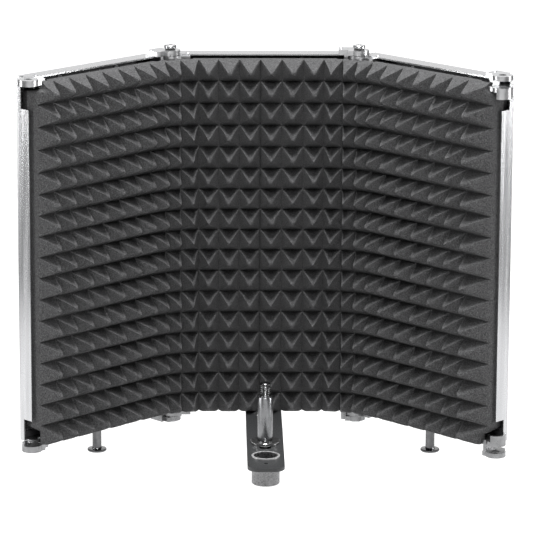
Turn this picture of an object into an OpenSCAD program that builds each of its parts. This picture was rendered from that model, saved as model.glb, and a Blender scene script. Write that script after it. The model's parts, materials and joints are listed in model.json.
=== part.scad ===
// Folding three-panel microphone isolation shield on a flat stand bracket.
// Millimetres, +Z up. Origin: mouth of the stand thread, on its axis.
// The foam faces -Y; the hinge pins stand parallel to Z.

/* [Panels] */
// Distance between the two hinge pins of one panel
panel_pitch = 161; // [150:1:190]
// Height of the folded sheet frames
frame_h = 313; // [280:1:360]
// Depth of the frame walls, back to front
frame_d = 15; // [12:0.5:18]
// Sheet thickness of the frames
sheet_t = 1.2; // [1:0.1:1.6]
// Gap between a hinge pin's axis and the end wall beside it
pin_gap = 2.5; // [2:0.1:3.5]
// Width of the flange round the rear window
flange_w = 13; // [8:1:18]
// Length of the notches at both ends of the end walls
notch_top = 27; // [18:0.2:30]
notch_bottom = 18.8; // [18:0.2:30]

/* [Fold] */
// Inward fold of the left panel as the shield is stored
left_fold = 43.9; // [20:0.1:60]
// Inward fold of the right panel as the shield is stored
right_fold = 44.9; // [20:0.1:60]

/* [Foam] */
// Total foam thickness, sheet back to pyramid tips
foam_t = 38.7; // [25:0.1:40]

/* [Hinge lugs] */
// Outer radius of the round lug ends
lug_r = 8.5; // [7:0.1:9]
// Radius of the hinge bolt shank
pin_r = 3.2; // [2.4:0.1:4]
// Radial play of the shank in its lugs
pin_play = 0.08; // [0.04:0.01:0.1]
// Thickness of an eye lug
eye_t = 5.2; // [4:0.1:6]
// Thickness of one cheek of a fork lug
cheek_t = 4; // [3:0.1:5]

/* [Bracket] */
// Width of the flat bracket
bracket_w = 31; // [24:1:36]
// Thickness of the flat bracket
bracket_t = 3; // [2:0.1:4]
// Distance of the hinge plane behind the stand thread
reach = 147; // [130:1:160]
// Distance of the microphone post in front of the hinge plane at rest
post_out = 107.5; // [95:0.5:110]
// Travel of the microphone post along its slot
post_travel = 14; // [4:1:15]

/* [Hidden] */
$fn = 96;

hp = panel_pitch / 2;            // hinge pin to panel centre
fw = panel_pitch - 2 * pin_gap;  // frame width
yf = 2.7;                        // front lip of the frame walls, behind the hinge plane
yb = yf + frame_d;               // back plane
foam_y = yb - sheet_t - 1.8;     // back of the foam
zb = 23.2;                       // underside of the frames above the ground
eye_hi = -0.1;                   // eye lug top below the frame's top plane
eye_lo = eye_hi - eye_t;
cheek_lo = 0.3;                  // upper cheek's underside
fork_lo = eye_lo - 0.3;          // lower cheek's top
fork_bot = fork_lo - cheek_t;
fork_top = cheek_lo + cheek_t;
hole_r = pin_r + pin_play;
lug_in = 17;                     // lug root, inboard of the pin's axis
lug_back = 12.4;                  // lug root, behind the hinge plane
web_s = 9.3;                     // start of the fork's web
web_e = 12.6;                    // end of the fork's web
boss_z = 5.4;                    // height of the half-round boss on a fork
rivet_s = 14.9;                  // lug rivet, inboard of the pin's axis
rivet_y = 7.5;                   // and behind the hinge plane
foot_y = 7.4;                    // foot, behind the hinge plane

// ---- placing -------------------------------------------------------------
module at_centre() { translate([0, reach, zb]) children(); }
module at_left() { translate([-hp, reach, zb]) rotate([0, 0, left_fold]) translate([-hp, 0, 0]) children(); }
module at_right() { translate([hp, reach, zb]) rotate([0, 0, -right_fold]) translate([hp, 0, 0]) children(); }
// the four lug corners: x is measured inboard from the pin's axis
module west(z) { translate([-hp, 0, z]) children(); }
module east(z) { translate([hp, 0, z]) mirror([1, 0, 0]) children(); }

// ---- frame: folded sheet with four walls and a rear flange -----------------
module frame(saddle = false) {
    color([0.68, 0.69, 0.71])
    difference() {
        translate([-fw / 2, yf, 0]) cube([fw, frame_d, frame_h]);
        // open front
        translate([-fw / 2 + sheet_t, yf - 1, sheet_t]) cube([fw - 2 * sheet_t, frame_d - sheet_t + 1, frame_h - 2 * sheet_t]);
        // rear window
        difference() {
            translate([-fw / 2 + flange_w, 0, flange_w]) cube([fw - 2 * flange_w, 30, frame_h - 2 * flange_w]);
            if (saddle) translate([-22, -5, 0]) cube([44, 40, 68]);
        }
        if (saddle) bracket_screw_places() rotate([90, 0, 0]) cylinder(r = 2.6, h = 12, center = true);
        // notches of the end walls, and corner cut-outs for the lugs
        for (x = [-fw / 2 - 1, fw / 2 - sheet_t - 1]) for (n = [[-1, notch_bottom], [frame_h - notch_top, notch_top]])
            translate([x, yf - 1, n[0]]) cube([sheet_t + 2, lug_back + 0.2 - yf + 1, n[1] + 1]);
        for (z = [-1, frame_h - sheet_t - 1]) {
            translate([fw / 2 + pin_gap - web_e, yf - 1, z]) cube([web_e, lug_back - yf + 1, sheet_t + 2]);
            translate([-hp, 0, z]) cylinder(r = 9, h = sheet_t + 2);
            for (x = [-hp + rivet_s, hp - rivet_s]) translate([x, rivet_y, z]) cylinder(r = 1.05, h = sheet_t + 2);
        }
        // rivet holes in the rear flange
        grille_rivet_places() rotate([90, 0, 0]) cylinder(r = 1.65, h = 40, center = true);
    }
}
module grille_rivet_places() {
    for (x = [-fw / 2 + 7.5, fw / 2 - 7.5]) for (z = [34, frame_h / 2, frame_h - 34]) translate([x, yb, z]) children();
    for (z = [7.5, frame_h - 7.5]) for (x = [-32, 32]) translate([x, yb, z]) children();
}
// left and right frames also take the foot's stud; the centre one the bracket's screws
module foot_hole() { translate([0, foot_y, -1]) cylinder(r = 2.6, h = 4); }

// ---- rear grille: sheet behind the foam, riveted to the flange -------------
module grille(screws = false) {
    color([0.16, 0.16, 0.17])
    difference() {
        translate([-fw / 2 + sheet_t + 0.3, yb - sheet_t - 1, sheet_t + 0.3]) cube([fw - 2 * sheet_t - 0.6, 1, frame_h - 2 * sheet_t - 0.6]);
        grille_rivet_places() rotate([90, 0, 0]) cylinder(r = 1.65, h = 40, center = true);
        if (screws) bracket_screw_places() rotate([90, 0, 0]) cylinder(r = 2.6, h = 40, center = true);
    }
}
module grille_rivets() {
    color([0.75, 0.76, 0.78])
    grille_rivet_places() rotate([-90, 0, 0]) {
        translate([0, 0, -sheet_t - 1.6]) cylinder(r = 1.6, h = sheet_t + 1.7);
        rotate_extrude() polygon([[0, 0], [3.1, 0], [2.7, 0.55], [1.6, 0.95], [0, 1.1]]);
        translate([0, 0, -sheet_t - 1.7]) cylinder(r = 2.6, h = 0.7);
    }
}

// ---- foam: closed body of the pad, cut back beside both hinges -------------
module foam(screws = false) {
    color([0.13, 0.13, 0.135])
    difference() {
        translate([0, 0, 10]) linear_extrude(frame_h - 20)
            polygon([[-hp + 9.4, foam_y], [hp - 9.4, foam_y],
                     [hp - 9.4, -11.6], [hp - 19.4, foam_y - foam_t],
                     [-hp + 19.4, foam_y - foam_t], [-hp + 9.4, -11.6]]);
        // pockets over the bracket's nuts
        if (screws) bracket_screw_places() rotate([90, 0, 0]) translate([0, 0, yb - foam_y - 1]) cylinder(r = 6, h = foam_y - 9.5 + 1);
    }
}

// ---- hinge lugs ------------------------------------------------------------
module lug_tongue() {
    circle(r = lug_r);
    translate([0, -6.6]) square([web_s, 6.6 + lug_back]);
}
// eye: one thick tongue; its root is riveted to the frame's wall, under it
module eye_lug(root_top) {
    color([0.55, 0.56, 0.58])
    difference() {
        union() {
            translate([0, 0, eye_lo]) linear_extrude(eye_t) lug_tongue();
            translate([web_s - 1, -1.6, eye_lo]) cube([lug_in - web_s + 1, lug_back + 1.6, root_top - eye_lo]);
        }
        translate([0, 0, -20]) cylinder(r = hole_r, h = 40);
        translate([rivet_s, rivet_y, -20]) cylinder(r = 1.05, h = 40);
        // clear of the frame's wall beyond its round cut-out
        if (root_top < -0.5) difference() {
            translate([pin_gap - 0.4, -10, root_top]) cube([20, 30, 10]);
            translate([0, 0, root_top - 1]) cylinder(r = lug_r + 0.25, h = 20);
        }
    }
}
// fork: two cheeks, a web between them and a half-round boss on the inner cheek
module fork_lug(pad = 0, inner_up = false) {
    color([0.55, 0.56, 0.58])
    difference() {
        union() {
            translate([0, 0, cheek_lo]) linear_extrude(cheek_t) lug_tongue();
            translate([0, 0, fork_bot]) linear_extrude(cheek_t) lug_tongue();
            translate([web_s, -1.6, fork_bot]) cube([web_e - web_s, lug_back + 1.6, fork_top - fork_bot]);
            translate([web_s, -1.6, pad]) cube([lug_in - web_s, lug_back + 1.6, fork_top - pad]);
            translate([0, 0, inner_up ? fork_top - 0.01 : fork_bot - boss_z]) difference() {
                cylinder(r = lug_r, h = boss_z + 0.01);
                translate([-1, -20, -1]) cube([40, 40, 20]);
            }
        }
        translate([0, 0, -40]) cylinder(r = hole_r, h = 80);
        // seat of the nut inside the boss
        translate([0, 0, inner_up ? fork_top : fork_bot - boss_z - 1]) cylinder(r = 6.4, h = boss_z + 1);
        translate([rivet_s, rivet_y, -20]) cylinder(r = 1.05, h = 40);
    }
}
// rivet that ties a lug's root to the frame's wall
module lug_rivet(lo, hi) {
    translate([rivet_s, rivet_y, 0]) {
        translate([0, 0, lo]) cylinder(r = 1, h = hi - lo);
        translate([0, 0, hi]) rotate_extrude() polygon([[0, 0], [1.8, 0], [1.6, 0.4], [0.9, 0.75], [0, 0.85]]);
        translate([0, 0, lo - 0.6]) cylinder(r = 1.7, h = 0.6);
    }
}
module lug_rivets() {
    color([0.75, 0.76, 0.78]) {
        west(frame_h) lug_rivet(eye_lo, 0);
        east(frame_h) lug_rivet(-sheet_t, fork_top);
        west(0) lug_rivet(eye_lo, sheet_t);
        east(0) lug_rivet(0, fork_top);
    }
}

// ---- hinge hardware, at the right-hand pin axis of a panel -----------------
module hinge_bolts() {
    color([0.8, 0.81, 0.83]) {
        // top bolt: socket head up
        translate([0, 0, frame_h]) difference() {
            union() {
                translate([0, 0, fork_bot - 3.4]) cylinder(r = pin_r, h = fork_top + 2 - fork_bot + 3.4);
                translate([0, 0, fork_top + 1.8]) rotate_extrude() polygon([[0, 0], [5.15, 0], [5.15, 1.7], [4.7, 2.2], [0, 2.2]]);
            }
            translate([0, 0, fork_top + 2.8]) cylinder(r = 2.3, h = 4, $fn = 6);
        }
        // bottom bolt: low socket head down
        difference() {
            union() {
                translate([0, 0, fork_bot - 0.2]) cylinder(r = pin_r, h = fork_top - fork_bot + 3.6);
                translate([0, 0, fork_bot - 1.8]) rotate_extrude() polygon([[0, 0], [4.8, 0], [5.15, 0.4], [5.15, 1.8], [0, 1.8]]);
            }
            translate([0, 0, fork_bot - 3]) cylinder(r = 2.3, h = 2.2, $fn = 6);
        }
    }
}
module hinge_washers() {
    color([0.05, 0.05, 0.05])
    translate([0, 0, frame_h + fork_top]) difference() {
        cylinder(r = 4.3, h = 1.8);
        translate([0, 0, -1]) cylinder(r = hole_r, h = 4);
    }
}
module hinge_nuts() {
    color([0.45, 0.46, 0.48]) {
        translate([0, 0, frame_h + fork_bot - 2.8]) difference() { cylinder(r = 5.6, h = 2.8, $fn = 6); translate([0, 0, -1]) cylinder(r = pin_r, h = 6); }
        translate([0, 0, fork_top]) difference() { cylinder(r = 5.6, h = 2.8, $fn = 6); translate([0, 0, -1]) cylinder(r = pin_r, h = 6); }
    }
}

// ---- feet ------------------------------------------------------------------
module foot() {
    color([0.75, 0.76, 0.78])
    translate([0, foot_y, -zb]) {
        rotate_extrude() polygon([[0, 0], [7.7, 0], [8.15, 0.5], [8.15, 1.6], [7.8, 2], [4.3, 2.3], [3.9, 3], [3.9, zb - 0.6], [3.5, zb], [0, zb]]);
        translate([0, 0, zb - 0.2]) cylinder(r = 2.5, h = 6.4);
    }
}
module foot_nut() {
    color([0.75, 0.76, 0.78])
    translate([0, foot_y, sheet_t]) difference() { cylinder(r = 4.4, h = 3.6, $fn = 6); translate([0, 0, -1]) cylinder(r = 2.5, h = 6); }
}

// ---- bracket: flat bar under the centre frame, turned up behind it ---------
leg_h = 62;
module bracket_screw_places() { for (z = [26, 50]) translate([0, yb, z]) children(); }
module bracket_plan() {
    y1 = reach + yb + bracket_t;
    translate([-bracket_w / 2, -26]) square([bracket_w, y1 + 26]);
    translate([-bracket_w / 2 + 10, -36]) square([bracket_w - 20, 12]);
    for (sx = [-1, 1]) translate([sx * (bracket_w / 2 - 10), -26]) circle(r = 10);
}
module bracket() {
    color([0.2, 0.2, 0.21])
    difference() {
        union() {
            translate([0, 0, zb - bracket_t]) linear_extrude(bracket_t) bracket_plan();
            translate([-bracket_w / 2, reach + yb, zb - bracket_t]) cube([bracket_w, bracket_t, leg_h + bracket_t - 12]);
            translate([0, reach + yb, zb + leg_h - 12]) rotate([-90, 0, 0]) intersection() {
                cylinder(r = bracket_w / 2, h = bracket_t);
                translate([-bracket_w / 2, -12, -1]) cube([bracket_w, 12.02, 9]);
            }
        }
        // stand collar's seat
        translate([0, 0, 0]) cylinder(r = 10.28, h = 40);
        // slot of the microphone post
        translate([0, reach - post_out, zb - bracket_t - 1]) linear_extrude(bracket_t + 2) {
            circle(r = 5);
            translate([0, -post_travel]) circle(r = 5);
            translate([-5, -post_travel]) square([10, post_travel]);
        }
        // round opening close to the frame
        translate([0, reach - 17, zb - 10]) cylinder(r = 8, h = 20);
        // small hole near the nose
        translate([0, -21, zb - 10]) cylinder(r = 1.75, h = 20);
        translate([0, reach, zb]) bracket_screw_places() rotate([90, 0, 0]) cylinder(r = 2.6, h = 20, center = true);
    }
}
module bracket_screws() {
    color([0.7, 0.71, 0.73])
    translate([0, reach, zb]) bracket_screw_places() rotate([-90, 0, 0]) {
        translate([0, 0, -sheet_t - 5.8]) cylinder(r = 2.5, h = sheet_t + 5.8 + bracket_t + 0.2);
        translate([0, 0, bracket_t]) difference() {
            rotate_extrude() polygon([[0, 0], [4.8, 0], [4.6, 1.1], [3.4, 2.3], [1.6, 2.8], [0, 2.9]]);
            translate([0, 0, 1.2]) cylinder(r = 1.7, h = 4, $fn = 6);
        }
    }
}
module bracket_nuts() {
    color([0.7, 0.71, 0.73])
    translate([0, reach, zb]) bracket_screw_places() rotate([90, 0, 0]) translate([0, 0, sheet_t + 1]) difference() {
        cylinder(r = 4.6, h = 4, $fn = 6);
        translate([0, 0, -1]) cylinder(r = 2.5, h = 8);
    }
}

// ---- microphone post -------------------------------------------------------
module mic_post() {
    color([0.1, 0.1, 0.105])
    translate([0, reach - post_out, 0]) difference() {
        rotate_extrude() polygon([[0, zb - bracket_t - 6], [4.76, zb - bracket_t - 6], [4.76, zb + 2.6], [5.2, zb + 2.6],
            [6.35, zb + 5.6], [6.35, zb + 40.4], [5.8, zb + 41], [4.76, zb + 41], [4.76, zb + 52.2], [4.2, zb + 52.8], [0, zb + 52.8]]);
    }
}
module post_washer() {
    color([0.3, 0.3, 0.31])
    translate([0, reach - post_out, zb + 0.1]) difference() {
        rotate_extrude() polygon([[0, 0], [12, 0], [12.3, 0.4], [12.3, 2.0], [11.9, 2.45], [0, 2.45]]);
        translate([0, 0, -1]) cylinder(r = 4.76, h = 6);
    }
}
module post_nut() {
    color([0.3, 0.3, 0.31])
    translate([0, reach - post_out, zb - bracket_t - 5.2]) difference() {
        cylinder(r = 8.2, h = 5.1, $fn = 6);
        translate([0, 0, -1]) cylinder(r = 4.82, h = 8);
    }
}

// ---- stand collar: captive knurled nut -------------------------------------
module stand_collar() {
    color([0.45, 0.45, 0.46])
    difference() {
        union() {
            rotate_extrude() polygon([[0, 0], [10.9, 0], [11.62, 0.8], [11.62, zb - bracket_t - 2.4], [11.1, zb - bracket_t - 1.8], [11.1, zb - bracket_t - 1.5],
                [11.62, zb - bracket_t - 1.2], [11.62, zb - bracket_t - 0.5], [11.3, zb - bracket_t - 0.15], [0, zb - bracket_t - 0.15]]);
            cylinder(r = 10.2, h = zb + 0.9);
        }
        translate([0, 0, -1]) cylinder(r = 7.94, h = 60);
        translate([0, 0, 17]) cylinder(r = 9.2, h = 20);
    }
}
module collar_ring() {
    color([0.6, 0.6, 0.62])
    translate([0, 0, zb + 0.12]) difference() {
        cylinder(r = 11.9, h = 0.9);
        translate([0, 0, -1]) cylinder(r = 10.2, h = 4);
    }
}

// ---- the assembly ----------------------------------------------------------
at_centre() frame(true);  // centre_frame
at_left() difference() { frame(); foot_hole(); }  // left_frame
at_right() difference() { frame(); foot_hole(); }  // right_frame
at_centre() grille(true);  // centre_rear_grille
at_left() grille();  // left_rear_grille
at_right() grille();  // right_rear_grille
at_centre() grille_rivets();  // centre_grille_rivets
at_left() grille_rivets();  // left_grille_rivets
at_right() grille_rivets();  // right_grille_rivets
at_centre() foam(true);  // centre_foam
at_left() foam();  // left_foam
at_right() foam();  // right_foam
at_centre() west(frame_h) eye_lug(-sheet_t);  // centre_eye_top
at_centre() west(0) eye_lug(0);  // centre_eye_bottom
at_centre() east(frame_h) fork_lug();  // centre_fork_top
at_centre() east(0) fork_lug(sheet_t, true);  // centre_fork_bottom
at_left() west(frame_h) eye_lug(-sheet_t);  // left_eye_top
at_left() west(0) eye_lug(0);  // left_eye_bottom
at_left() east(frame_h) fork_lug();  // left_fork_top
at_left() east(0) fork_lug(sheet_t, true);  // left_fork_bottom
at_right() west(frame_h) eye_lug(-sheet_t);  // right_eye_top
at_right() west(0) eye_lug(0);  // right_eye_bottom
at_right() east(frame_h) fork_lug();  // right_fork_top
at_right() east(0) fork_lug(sheet_t, true);  // right_fork_bottom
at_centre() lug_rivets();  // centre_lug_rivets
at_left() lug_rivets();  // left_lug_rivets
at_right() lug_rivets();  // right_lug_rivets
at_left() translate([hp, 0, 0]) hinge_bolts();  // left_hinge_bolts
at_centre() translate([hp, 0, 0]) hinge_bolts();  // right_hinge_bolts
at_left() translate([hp, 0, 0]) hinge_washers();  // left_hinge_washers
at_centre() translate([hp, 0, 0]) hinge_washers();  // right_hinge_washers
at_left() translate([hp, 0, 0]) hinge_nuts();  // left_hinge_nuts
at_centre() translate([hp, 0, 0]) hinge_nuts();  // right_hinge_nuts
at_left() foot();  // left_foot
at_right() foot();  // right_foot
at_left() foot_nut();  // left_foot_nut
at_right() foot_nut();  // right_foot_nut
bracket();
bracket_screws();
bracket_nuts();
mic_post();
post_washer();
post_nut();
stand_collar();
collar_ring();
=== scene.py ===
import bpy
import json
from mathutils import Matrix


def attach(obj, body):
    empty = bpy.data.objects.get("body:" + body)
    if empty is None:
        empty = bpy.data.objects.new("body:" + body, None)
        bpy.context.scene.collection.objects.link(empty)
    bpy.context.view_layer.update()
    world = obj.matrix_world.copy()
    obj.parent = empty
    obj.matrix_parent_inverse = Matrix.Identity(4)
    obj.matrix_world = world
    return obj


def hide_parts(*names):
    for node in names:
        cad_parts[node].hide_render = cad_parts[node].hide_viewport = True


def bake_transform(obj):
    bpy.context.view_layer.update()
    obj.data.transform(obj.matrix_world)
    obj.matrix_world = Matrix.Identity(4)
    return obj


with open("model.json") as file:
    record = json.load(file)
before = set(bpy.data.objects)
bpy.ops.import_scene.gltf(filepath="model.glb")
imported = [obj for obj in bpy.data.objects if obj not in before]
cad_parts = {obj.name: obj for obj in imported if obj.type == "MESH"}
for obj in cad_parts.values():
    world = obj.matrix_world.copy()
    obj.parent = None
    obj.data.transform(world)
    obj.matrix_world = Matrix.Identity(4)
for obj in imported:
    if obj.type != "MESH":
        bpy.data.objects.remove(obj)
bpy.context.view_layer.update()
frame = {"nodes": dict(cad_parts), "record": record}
import json, math, random
import bpy
import numpy as np
from mathutils import Matrix, Vector

random.seed(11)
RNG = np.random.default_rng(11)
MM = 0.001


# ---------------------------------------------------------------- materials
def link(nt, a, b):
    nt.links.new(a, b)


def material(name, lo, hi, scale, rough=(0.4, 0.5), metallic=0.0, stretch=(1, 1, 1), detail=4.0,
             bump=0.0, bump_scale=400.0, bump_kind="noise", specular=0.5, sheen=0.0, edge=None, coat=0.0):
    """Noise between two colours, noise in the roughness, and a fine bump."""
    m = bpy.data.materials.new(name)
    m.use_nodes = True
    nt = m.node_tree
    nt.nodes.clear()
    out = nt.nodes.new("ShaderNodeOutputMaterial")
    p = nt.nodes.new("ShaderNodeBsdfPrincipled")
    link(nt, p.outputs["BSDF"], out.inputs["Surface"])
    co = nt.nodes.new("ShaderNodeTexCoord")
    mp = nt.nodes.new("ShaderNodeMapping")
    mp.inputs["Scale"].default_value = stretch
    link(nt, co.outputs["Object"], mp.inputs["Vector"])
    n = nt.nodes.new("ShaderNodeTexNoise")
    n.inputs["Scale"].default_value = scale
    n.inputs["Detail"].default_value = detail
    link(nt, mp.outputs["Vector"], n.inputs["Vector"])
    cr = nt.nodes.new("ShaderNodeValToRGB")
    cr.color_ramp.elements[0].position = 0.3
    cr.color_ramp.elements[1].position = 0.7
    cr.color_ramp.elements[0].color = (*lo, 1)
    cr.color_ramp.elements[1].color = (*hi, 1)
    link(nt, n.outputs["Fac"], cr.inputs["Fac"])
    colour = cr.outputs["Color"]
    link(nt, colour, p.inputs["Base Color"])
    mr = nt.nodes.new("ShaderNodeMapRange")
    mr.inputs["From Min"].default_value = 0.3
    mr.inputs["From Max"].default_value = 0.7
    mr.inputs["To Min"].default_value = rough[0]
    mr.inputs["To Max"].default_value = rough[1]
    link(nt, n.outputs["Fac"], mr.inputs["Value"])
    link(nt, mr.outputs["Result"], p.inputs["Roughness"])
    p.inputs["Metallic"].default_value = metallic
    p.inputs["Specular IOR Level"].default_value = specular
    p.inputs["Sheen Weight"].default_value = sheen
    p.inputs["Sheen Roughness"].default_value = 0.5
    p.inputs["Coat Weight"].default_value = coat
    if bump:
        if bump_kind == "cells":
            b = nt.nodes.new("ShaderNodeTexVoronoi")
            b.inputs["Scale"].default_value = bump_scale
            src = b.outputs["Distance"]
        else:
            b = nt.nodes.new("ShaderNodeTexNoise")
            b.inputs["Scale"].default_value = bump_scale
            b.inputs["Detail"].default_value = 3.0
            src = b.outputs["Fac"]
        link(nt, mp.outputs["Vector"], b.inputs["Vector"])
        bp = nt.nodes.new("ShaderNodeBump")
        bp.inputs["Strength"].default_value = bump
        bp.inputs["Distance"].default_value = 0.0006
        link(nt, src, bp.inputs["Height"])
        link(nt, bp.outputs["Normal"], p.inputs["Normal"])
    return m


def foam_material():
    """Open-cell foam: pores from a fine cell pattern, over slow patches."""
    m = bpy.data.materials.new("foam")
    m.use_nodes = True
    nt = m.node_tree
    nt.nodes.clear()
    out = nt.nodes.new("ShaderNodeOutputMaterial")
    p = nt.nodes.new("ShaderNodeBsdfPrincipled")
    link(nt, p.outputs["BSDF"], out.inputs["Surface"])
    co = nt.nodes.new("ShaderNodeTexCoord")
    v = nt.nodes.new("ShaderNodeTexVoronoi")
    v.inputs["Scale"].default_value = 1050.0
    v.inputs["Randomness"].default_value = 1.0
    link(nt, co.outputs["Object"], v.inputs["Vector"])
    n = nt.nodes.new("ShaderNodeTexNoise")
    n.inputs["Scale"].default_value = 900.0
    n.inputs["Detail"].default_value = 5.0
    n.inputs["Roughness"].default_value = 0.7
    link(nt, co.outputs["Object"], n.inputs["Vector"])
    cr = nt.nodes.new("ShaderNodeValToRGB")
    cr.color_ramp.elements[0].position = 0.36
    cr.color_ramp.elements[1].position = 0.66
    cr.color_ramp.elements[0].color = (*FOAM_LO, 1)
    cr.color_ramp.elements[1].color = (*FOAM_HI, 1)
    link(nt, n.outputs["Fac"], cr.inputs["Fac"])
    pore = nt.nodes.new("ShaderNodeMapRange")
    pore.inputs["From Min"].default_value = 0.15
    pore.inputs["From Max"].default_value = 0.75
    pore.inputs["To Min"].default_value = 1.15
    pore.inputs["To Max"].default_value = 0.55
    link(nt, v.outputs["Distance"], pore.inputs["Value"])
    mul = nt.nodes.new("ShaderNodeVectorMath")
    mul.operation = "SCALE"
    link(nt, cr.outputs["Color"], mul.inputs[0])
    link(nt, pore.outputs["Result"], mul.inputs["Scale"])
    link(nt, mul.outputs["Vector"], p.inputs["Base Color"])
    p.inputs["Roughness"].default_value = 0.95
    p.inputs["Specular IOR Level"].default_value = 0.25
    p.inputs["Sheen Weight"].default_value = FOAM_SHEEN
    p.inputs["Sheen Roughness"].default_value = 0.6
    add = nt.nodes.new("ShaderNodeMath")
    add.operation = "SUBTRACT"
    link(nt, n.outputs["Fac"], add.inputs[0])
    link(nt, v.outputs["Distance"], add.inputs[1])
    bp = nt.nodes.new("ShaderNodeBump")
    bp.inputs["Strength"].default_value = 0.22
    bp.inputs["Distance"].default_value = 0.0007
    link(nt, add.outputs["Value"], bp.inputs["Height"])
    link(nt, bp.outputs["Normal"], p.inputs["Normal"])
    return m


FOAM_LO = (0.022, 0.022, 0.0225)
FOAM_HI = (0.085, 0.085, 0.087)
FOAM_SHEEN = 0.0

MATS = {
    "foam": foam_material(),
    "frame": material("frame", (0.37, 0.372, 0.38), (0.45, 0.452, 0.46), 26.0, (0.20, 0.28), 0.95, stretch=(9, 9, 0.35), detail=5.0, bump=0.04, bump_scale=60.0),
    "grille": material("grille", (0.030, 0.030, 0.032), (0.055, 0.055, 0.058), 300.0, (0.42, 0.6), 0.2, bump=0.2, bump_scale=2500.0),
    "lug": material("lug", (0.40, 0.402, 0.408), (0.51, 0.512, 0.52), 160.0, (0.26, 0.36), 0.95, detail=4.0, bump=0.03, bump_scale=300.0),
    "rivet": material("rivet", (0.52, 0.53, 0.54), (0.70, 0.70, 0.72), 500.0, (0.25, 0.4), 0.9),
    "bolt": material("bolt", (0.56, 0.565, 0.575), (0.70, 0.705, 0.715), 350.0, (0.20, 0.32), 1.0),
    "washer_black": material("washer_black", (0.010, 0.010, 0.010), (0.022, 0.022, 0.023), 900.0, (0.4, 0.6)),
    "foot": material("foot", (0.09, 0.091, 0.093), (0.14, 0.141, 0.143), 300.0, (0.10, 0.18), 1.0),
    "bracket": material("bracket", (0.014, 0.0145, 0.0153), (0.027, 0.028, 0.029), 900.0, (0.40, 0.58), 0.35, detail=6.0, bump=0.3, bump_scale=2600.0),
    "post": material("post", (0.12, 0.1215, 0.125), (0.21, 0.2125, 0.218), 420.0, (0.22, 0.36), 0.95, stretch=(1, 1, 0.25)),
    "washer": material("washer", (0.26, 0.26, 0.262), (0.36, 0.36, 0.362), 500.0, (0.10, 0.20), 0.95),
    "collar": material("collar", (0.13, 0.13, 0.132), (0.22, 0.22, 0.224), 500.0, (0.22, 0.38), 0.95),
}
STUD = material("stud_steel", (0.10, 0.101, 0.103), (0.17, 0.171, 0.173), 600.0, (0.14, 0.26), 1.0)
# a darker copy of the lug metal: painted shade for the bottom lugs, which sit lower and get less light
LUG_PAINTED_SHADE = material("lug_painted_shade", (0.16, 0.161, 0.164), (0.24, 0.241, 0.245), 160.0, (0.24, 0.34), 0.95, detail=4.0, bump=0.03, bump_scale=300.0)
RING = material("ring", (0.42, 0.42, 0.422), (0.54, 0.54, 0.542), 500.0, (0.40, 0.52), 0.9)


def paint(obj, mat):
    obj.data.materials.clear()
    obj.data.materials.append(mat)


slots = {s["node"]: s["material_slot"] for s in frame["record"]["subparts"]}
for node, obj in frame["nodes"].items():
    paint(obj, MATS[slots[node]])
    # the bottom lugs take the darker lug copy, which is painted shade
    if node.endswith(("_eye_bottom", "_fork_bottom")):
        paint(obj, LUG_PAINTED_SHADE)
    elif node == "collar_ring":
        paint(obj, RING)


# ------------------------------------------------------------------- meshes
def make(name, verts, faces, slot, smooth=True, angle=40.0):
    me = bpy.data.meshes.new(name)
    me.from_pydata([tuple(map(float, v)) for v in verts], [], faces)
    me.validate()
    ob = bpy.data.objects.new(name, me)
    bpy.context.scene.collection.objects.link(ob)
    if smooth:
        me.shade_smooth()
        if angle and hasattr(me, "set_sharp_from_angle"):
            me.set_sharp_from_angle(angle=math.radians(angle))
    paint(ob, MATS[slot])
    return ob


# ---- foam: one sheet of pyramids that bends round both corners ------------
H = 80.5          # hinge axis to the centre panel's middle
REACH = 147.0     # hinge plane
BASE = 5.0        # valleys in front of the hinge plane
TALL = 22.2       # pyramid height, before the tips are rounded
RAD = 75.0        # bend radius of the valleys
BACK = 14.9       # back of the sheet behind the hinge plane
NUTS = 10.2       # and over the bracket's nuts
LIP = 1.0         # back of the sheet where it passes the frames' front lips
ROOT = -2.6       # back of the sheet where it passes the lugs' roots
FOLD_L = 43.9
FOLD_R = 44.9


def plan(u, theta, root=False):
    """Point and direction of the valley line at unrolled distance u >= 0 from the middle,
    with the sheet's full and thin depth behind it. x grows towards the panel."""
    half = math.tan(theta / 2)
    uc = H - BASE * half - RAD * half
    ua = uc + RAD * theta
    lip = LIP
    if u <= uc:
        return (u, -BASE), 0.0, BASE + BACK, BASE + LIP
    if u >= ua:
        px = uc + RAD * math.sin(theta)
        py = -BASE - RAD + RAD * math.cos(theta)
        full = BASE + BACK
        thin = BASE + (ROOT if root and u > 214.0 else LIP)
        return (px + (u - ua) * math.cos(theta), py - (u - ua) * math.sin(theta)), theta, full, thin
    phi = (u - uc) / RAD
    p = (uc + RAD * math.sin(phi), -BASE - RAD + RAD * math.cos(phi))
    q = min(phi, theta - phi)
    x, y = uc + RAD * math.sin(q), -BASE - RAD + RAD * math.cos(q)
    s, c = math.sin(q), math.cos(q)
    d1 = (BACK - y) / c
    d2 = (H - 5.4 - x) / s if s > 1e-6 else 1e9
    if root and H - x < 20.0:
        lip = ROOT
    d3 = (lip - y) / c
    # clear of the lugs' rounds about the hinge axis
    ax, ay = H - x, -y
    along = ax * s + ay * c
    off2 = ax * ax + ay * ay - along * along
    d4 = along - math.sqrt(9.2 ** 2 - off2) if off2 < 9.2 ** 2 else 1e9
    return p, phi, min(max(d3, min(d1, d2)), d4), min(d3, d4)


COLS_L = [-3.56, -21.4, -39.2, -56.35, -72.1, -86.5, -102.3, -120.1, -138.2, -156.5, -175.0, -193.7, -211.5, -229.3]
COLS_R = [-3.56, 14.84, 33.33, 50.53, 66.57, 79.6, 94.4, 110.3, 128.2, 146.4, 165.4, 184.2, 201.8, 229.3]
ROWS = [23.3, 39.1, 56.9, 75.0, 93.4, 111.6, 130.1, 148.4, 166.8, 184.6, 202.4, 220.2, 238.3, 257.0, 275.9, 295.1, 314.2, 332.9]
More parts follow.
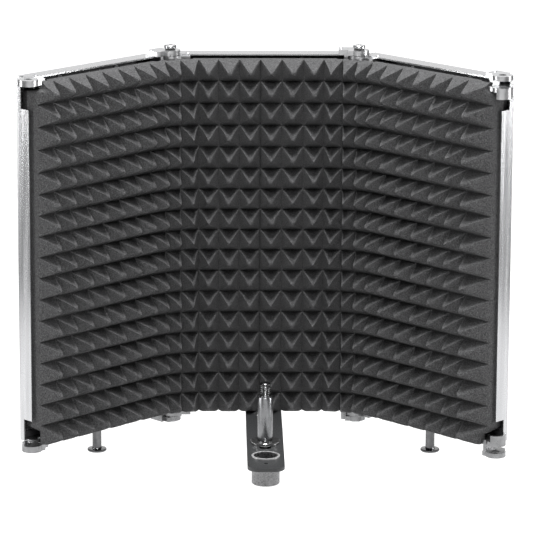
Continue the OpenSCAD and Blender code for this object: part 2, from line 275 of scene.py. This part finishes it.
# the cell's own coordinate runs -1..1 between its valleys; the sheet is cut inside the lowest row
ROW_CUT = {0: (29.9, -0.71, 1.0)}
COL_TIP = {("R", 12): 210.2, ("L", 12): -220.2}
N = 10


def samples(bounds, tips, ends):
    """Sample places, the cell of each, and its coordinate from -1 at one valley to 1 at the next."""
    out, cell, loc = [], [], []
    for i in range(len(bounds) - 1):
        lo, hi = bounds[i], bounds[i + 1]
        tip = tips.get(i, (lo + hi) / 2)
        a0, a1 = ends.get(i, (-1.0, 1.0))
        for k in range(N // 2):
            t = k / (N // 2)
            out.append(lo + (tip - lo) * t); cell.append(i); loc.append(a0 * (1 - t))
        for k in range(N // 2):
            t = k / (N // 2)
            out.append(tip + (hi - tip) * t); cell.append(i); loc.append(a1 * t)
    out.append(bounds[-1]); cell.append(len(bounds) - 2); loc.append(ends.get(len(bounds) - 2, (-1.0, 1.0))[1])
    return out, cell, loc


def foam_sheet(name, cols):
    side = "L" if cols[-1] < 0 else "R"
    us, uc, ua = samples(cols, {i: t for (k, i), t in COL_TIP.items() if k == side}, {})
    zs, zc, za = samples(ROWS, {i: t[0] for i, t in ROW_CUT.items()}, {i: t[1:] for i, t in ROW_CUT.items()})
    nu, nz = len(us), len(zs)
    gain = 1 + 0.05 * (RNG.random((len(cols), len(ROWS))) - 0.5)
    lean = 0.10 * (RNG.random((len(cols), len(ROWS), 2)) - 0.5)
    verts = []

    def place(u, h, z):
        sgn = 1.0 if u >= 0 else -1.0
        theta = math.radians(FOLD_R if sgn > 0 else FOLD_L)
        # the corners are cut away from the free lugs
        if z > 326.0 or (z < 33.0 and sgn > 0):
            u = sgn * min(abs(u), 224.0)
        if h == "back":
            u = sgn * min(abs(u), 227.0)
        p, phi, full, thin = plan(abs(u), theta, z > 324.0 or z < 34.5)
        nx, ny = -math.sin(phi), -math.cos(phi)
        if h == "back":
            h = -(full if 34.6 < z < 324.8 else thin)
            if abs(u) < 26.0 and z < 80.0:
                h = max(h, -BASE - NUTS)
        return (sgn * (p[0] + nx * h) * MM, (REACH + p[1] + ny * h) * MM, z * MM)

    for i in range(nu):
        for j in range(nz):
            a, b = ua[i], za[j]
            la, lb = lean[uc[i], zc[j]]
            # the tip leans a little off the middle of its square
            wa, wb = 1 - abs(a), 1 - abs(b)
            aa, bb = a - la * wa, b - lb * wb
            m = (abs(aa) ** 22 + abs(bb) ** 22) ** (1 / 22)
            m = math.sqrt(m * m + 0.020 * max(0.0, 1 - m) ** 2)
            h = TALL * gain[uc[i], zc[j]] * max(0.0, 1 - m) ** 1.12
            verts.append(place(us[i], h, zs[j]))
    faces = []
    g = lambda i, j: i * nz + j
    flip = us[-1] < us[0]

    def add(*f):
        faces.append(tuple(reversed(f)) if flip else tuple(f))

    for i in range(nu - 1):
        for j in range(nz - 1):
            a = -1 if i % N < N // 2 else 1
            b = -1 if j % N < N // 2 else 1
            if a * b > 0:
                add(g(i, j), g(i + 1, j), g(i + 1, j + 1)); add(g(i, j), g(i + 1, j + 1), g(i, j + 1))
            else:
                add(g(i, j), g(i + 1, j), g(i, j + 1)); add(g(i + 1, j), g(i + 1, j + 1), g(i, j + 1))
    # back, on the same grid
    o = len(verts)
    for i in range(nu):
        for j in range(nz):
            verts.append(place(us[i], "back", zs[j]))
    k = lambda i, j: o + i * nz + j
    for i in range(nu - 1):
        for j in range(nz - 1):
            add(k(i, j), k(i, j + 1), k(i + 1, j + 1), k(i + 1, j))
        add(g(i, 0), k(i, 0), k(i + 1, 0), g(i + 1, 0))
        add(g(i, nz - 1), g(i + 1, nz - 1), k(i + 1, nz - 1), k(i, nz - 1))
    for j in range(nz - 1):
        add(g(0, j), g(0, j + 1), k(0, j + 1), k(0, j))
        add(g(nu - 1, j), k(nu - 1, j), k(nu - 1, j + 1), g(nu - 1, j + 1))
    ob = make(name, verts, faces, "foam", angle=55.0)
    return ob


foam_l = foam_sheet("foam_left_half", COLS_L)
foam_r = foam_sheet("foam_right_half", COLS_R)
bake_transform(foam_l)
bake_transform(foam_r)
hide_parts("left_foam", "centre_foam")
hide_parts("right_foam", "centre_foam")


# ---- rear grilles: perforated sheets in the rear windows -------------------
def place_panel(verts, panel):
    """Panel-local millimetres to the row frame."""
    out = []
    for x, y, z in verts:
        if panel == "centre":
            X, Y = x, y
        elif panel == "left":
            t = math.radians(FOLD_L)
            lx = x - H
            X, Y = lx * math.cos(t) - y * math.sin(t) - H, lx * math.sin(t) + y * math.cos(t)
        else:
            t = math.radians(-FOLD_R)
            lx = x + H
            X, Y = lx * math.cos(t) - y * math.sin(t) + H, lx * math.sin(t) + y * math.cos(t)
        out.append((X * MM, (REACH + Y) * MM, (23.2 + z) * MM))
    return out


def perforated(panel, screws=False):
    pitch, r = 6.0, 2.1
    rowh = pitch * math.sqrt(3) / 2
    side = pitch / math.sqrt(3)
    pts, index, quads = [], {}, []

    def vid(x, z):
        key = (round(x, 2), round(z, 2))
        if key not in index:
            index[key] = len(pts)
            pts.append((x, z))
        return index[key]

    nrow = int(298 / rowh)
    for j in range(nrow):
        z = 156.5 + (j - (nrow - 1) / 2) * rowh
        for i in range(-12, 13):
            x = i * pitch + (pitch / 2 if j % 2 else 0.0)
            if abs(x) > 72.5:
                continue
            ring = []
            for k in range(6):
                a0, a1 = math.radians(30 + 60 * k), math.radians(90 + 60 * k)
                c0 = (x + side * math.cos(a0), z + side * math.sin(a0))
                c1 = (x + side * math.cos(a1), z + side * math.sin(a1))
                ring.append(vid(*c0))
                ring.append(vid((c0[0] + c1[0]) / 2, (c0[1] + c1[1]) / 2))
            if screws and abs(x) < 23 and z < 70:
                quads.append(tuple(ring))
                continue
            hole = [vid(x + r * math.cos(math.radians(30 + 30 * k)), z + r * math.sin(math.radians(30 + 30 * k))) for k in range(12)]
            for k in range(12):
                quads.append((ring[k], ring[(k + 1) % 12], hole[(k + 1) % 12], hole[k]))
    edges = set()
    for q in quads:
        for a, b in zip(q, q[1:] + q[:1]):
            edges.add((a, b))
    n = len(pts)
    y0, y1 = 15.55, 16.45
    verts = [(x, y1, z) for x, z in pts] + [(x, y0, z) for x, z in pts]
    faces = [tuple(v + n for v in q) for q in quads] + [tuple(reversed(q)) for q in quads]
    for a, b in edges:
        if (b, a) not in edges:
            faces.append((a + n, a, b, b + n))
    for x0, x1, z0, z1 in ((-76.5, -75.9, 1.6, 311.4), (75.9, 76.5, 1.6, 311.4), (-75.9, 75.9, 1.6, 6.2), (-75.9, 75.9, 306.8, 311.4)):
        o = len(verts)
        verts += [(x0, y0, z0), (x1, y0, z0), (x1, y1, z0), (x0, y1, z0), (x0, y0, z1), (x1, y0, z1), (x1, y1, z1), (x0, y1, z1)]
        faces += [tuple(o + i for i in f) for f in ((0, 3, 2, 1), (4, 5, 6, 7), (0, 1, 5, 4), (1, 2, 6, 5), (2, 3, 7, 6), (3, 0, 4, 7))]
    ob = make(panel + "_perforated_sheet", place_panel(verts, panel), faces, "grille", smooth=False)
    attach(ob, panel + "_panel")
    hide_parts(panel + "_rear_grille")
    return ob


perforated("centre", True)
perforated("left")
perforated("right")


# ---- turned pieces ----------------------------------------------------------
def lathe(name, rows, segs, slot, centre=(0.0, 0.0), closed=False, body=None, cut=None):
    """rows: list of (radius function or number, z in mm), bottom to top. closed joins the
    last row to the first, as on a ring; otherwise both ends are capped."""
    verts, faces = [], []
    for rf, z in rows:
        for k in range(segs):
            t = 2 * math.pi * k / segs
            r = rf(t) if callable(rf) else rf
            verts.append(((centre[0] + r * math.cos(t)) * MM, (centre[1] + r * math.sin(t)) * MM, z * MM))
    n = len(rows)
    for j in range(n if closed else n - 1):
        j2 = (j + 1) % n
        for k in range(segs):
            k2 = (k + 1) % segs
            faces.append((j * segs + k, j * segs + k2, j2 * segs + k2, j2 * segs + k))
    if not closed:
        faces.append(tuple(reversed(range(segs))))
        faces.append(tuple((n - 1) * segs + k for k in range(segs)))
    ob = make(name, verts, faces, slot, angle=32.0)
    if body:
        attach(ob, body)
    return ob


def thread_rows(z0, z1, r, pitch, depth, step=8, sign=-1.0):
    rows = []
    n = max(2, int((z1 - z0) / pitch * step))
    for k in range(n + 1):
        z = z0 + (z1 - z0) * k / n
        fade = min(1.0, (z - z0) / 0.5 + 0.15, (z1 - z) / 0.5 + 0.15)

        def rf(t, z=z, fade=fade):
            ph = (z / pitch - t / (2 * math.pi)) % 1.0
            tri = abs(2 * ph - 1)
            return r + sign * depth * fade * (1 - tri)
        rows.append((rf, z))
    return rows


zb = 23.2
POST = (0.0, 39.5)
rows = [(3.9, 14.2)] + thread_rows(14.6, 25.6, 4.76, 1.5875, 0.62) + [(4.76, 25.8), (5.2, 25.8), (5.6, 26.6), (6.25, 28.5), (6.35, 28.9),
        (6.35, 45.0), (6.35, 63.2), (6.2, 63.6), (5.8, 64.1), (4.76, 64.2)]
i0 = len(rows)
rows += thread_rows(64.5, 75.2, 4.76, 1.5875, 0.62) + [(4.3, 75.8), (3.9, 76.0)]
post = lathe("mic_post_turned", rows, 64, "post", POST, body="mic_post")
post.data.materials.append(STUD)
for poly in post.data.polygons:
    if poly.center.z > 0.0643:
        poly.material_index = 1
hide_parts("mic_post")

# stand collar: fine ribs outside, a thread inside
def rib(base, depth=0.32, count=64):
    def rf(t):
        return base - depth * (0.5 + 0.5 * math.cos(count * t)) ** 1.5
    return rf


rows = [(10.9, 0.0), (11.2, 0.25), (rib(11.62, 0.1), 0.8), (rib(11.62), 1.4), (rib(11.62), 8.5), (rib(11.62), 16.6), (rib(11.62, 0.1), 17.3), (11.45, 17.7),
        (11.1, 18.0), (11.1, 18.7), (11.62, 19.0), (11.62, 19.6), (11.3, 20.04), (10.2, 20.05), (10.2, 24.1), (9.2, 24.1), (9.2, 17.0)]
rows += list(reversed(thread_rows(0.6, 16.6, 7.94, 0.94, 0.4, step=6, sign=-1.0))) + [(8.3, 0.0)]
collar = lathe("stand_collar_turned", rows, 256, "collar", (0.0, 0.0), closed=True, body="stand_collar")
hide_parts("stand_collar")

# -------------------------------------------------------------- floor, light
floor_me = bpy.data.meshes.new("floor")
floor_me.from_pydata([(-0.75, -0.9, 0), (0.75, -0.9, 0), (0.75, 4.2, 0), (-0.75, 4.2, 0)], [], [(0, 1, 2, 3)])
floor = bpy.data.objects.new("floor", floor_me)
bpy.context.scene.collection.objects.link(floor)
fm = bpy.data.materials.new("floor")
fm.use_nodes = True
fp = fm.node_tree.nodes["Principled BSDF"]
fp.inputs["Base Color"].default_value = (0.20, 0.20, 0.20, 1)
fp.inputs["Roughness"].default_value = 0.9
fp.inputs["Emission Color"].default_value = (1, 1, 1, 1)
fp.inputs["Emission Strength"].default_value = 0.97
floor.data.materials.append(fm)
back_me = bpy.data.meshes.new("backdrop")
back_me.from_pydata([(-1.6, 4.2, 0), (1.6, 4.2, 0), (1.6, 4.2, 2.6), (-1.6, 4.2, 2.6)], [], [(0, 1, 2, 3)])
backdrop = bpy.data.objects.new("backdrop", back_me)
bpy.context.scene.collection.objects.link(backdrop)
backdrop.data.materials.append(fm)

world = bpy.data.worlds.new("studio")
bpy.context.scene.world = world
world.use_nodes = True
world.node_tree.nodes["Background"].inputs["Color"].default_value = (1, 1, 1, 1)
world.node_tree.nodes["Background"].inputs["Strength"].default_value = 0.06


def area(name, loc, target, size, power, size_y=None):
    li = bpy.data.lights.new(name, "AREA")
    li.shape = "RECTANGLE"
    li.size = size
    li.size_y = size_y or size
    li.energy = power
    ob = bpy.data.objects.new(name, li)
    ob.location = loc
    d = Vector(target) - Vector(loc)
    ob.rotation_euler = d.to_track_quat("-Z", "Y").to_euler()
    bpy.context.scene.collection.objects.link(ob)
    return ob


area("top", (0.0, -0.15, 1.75), (0, 0.05, 0.15), 0.4, 86.0, 1.2)
area("key", (0.0, -2.0, 1.80), (0, 0.1, 0.2), 0.3, 32.0, 0.9)
area("side_l", (-1.9, -0.14, 0.50), (-0.1, 0.1, 0.18), 0.3, 28.0, 1.0)
area("side_r", (1.9, -0.14, 0.50), (0.1, 0.1, 0.18), 0.3, 29.0, 1.0)
area("fill", (0.0, -0.75, 0.03), (0, 0.12, 0.2), 0.9, 1.3, 0.25)
area("card_l", (-1.25, 0.15, 0.0), (-0.2, 0.1, 0.15), 0.8, 0.5, 1.3)
area("card_r", (1.25, 0.15, 0.0), (0.2, 0.1, 0.15), 0.8, 0.6, 1.3)

# ------------------------------------------------------------------- camera
cam_data = bpy.data.cameras.new("camera")
cam_data.sensor_width = 36.0
cam_data.lens = 3792.4 * 36.0 / 533.0
cam_data.clip_end = 60.0
cam = bpy.data.objects.new("camera", cam_data)
bpy.context.scene.collection.objects.link(cam)
pitch, yaw, roll = math.radians(13.700), math.radians(0.900), math.radians(0.237)
fwd = Vector((math.sin(yaw) * math.cos(pitch), math.cos(yaw) * math.cos(pitch), -math.sin(pitch)))
right = Vector((math.cos(yaw), -math.sin(yaw), 0))
up = right.cross(fwd)
r_ = right * math.cos(roll) + up * math.sin(roll)
u_ = -right * math.sin(roll) + up * math.cos(roll)
cam.matrix_world = Matrix(((r_.x, u_.x, -fwd.x, -0.04773), (r_.y, u_.y, -fwd.y, -3.03634), (r_.z, u_.z, -fwd.z, 0.92640), (0, 0, 0, 1)))
bpy.context.scene.camera = cam
bpy.context.scene.view_settings.view_transform = "Standard"
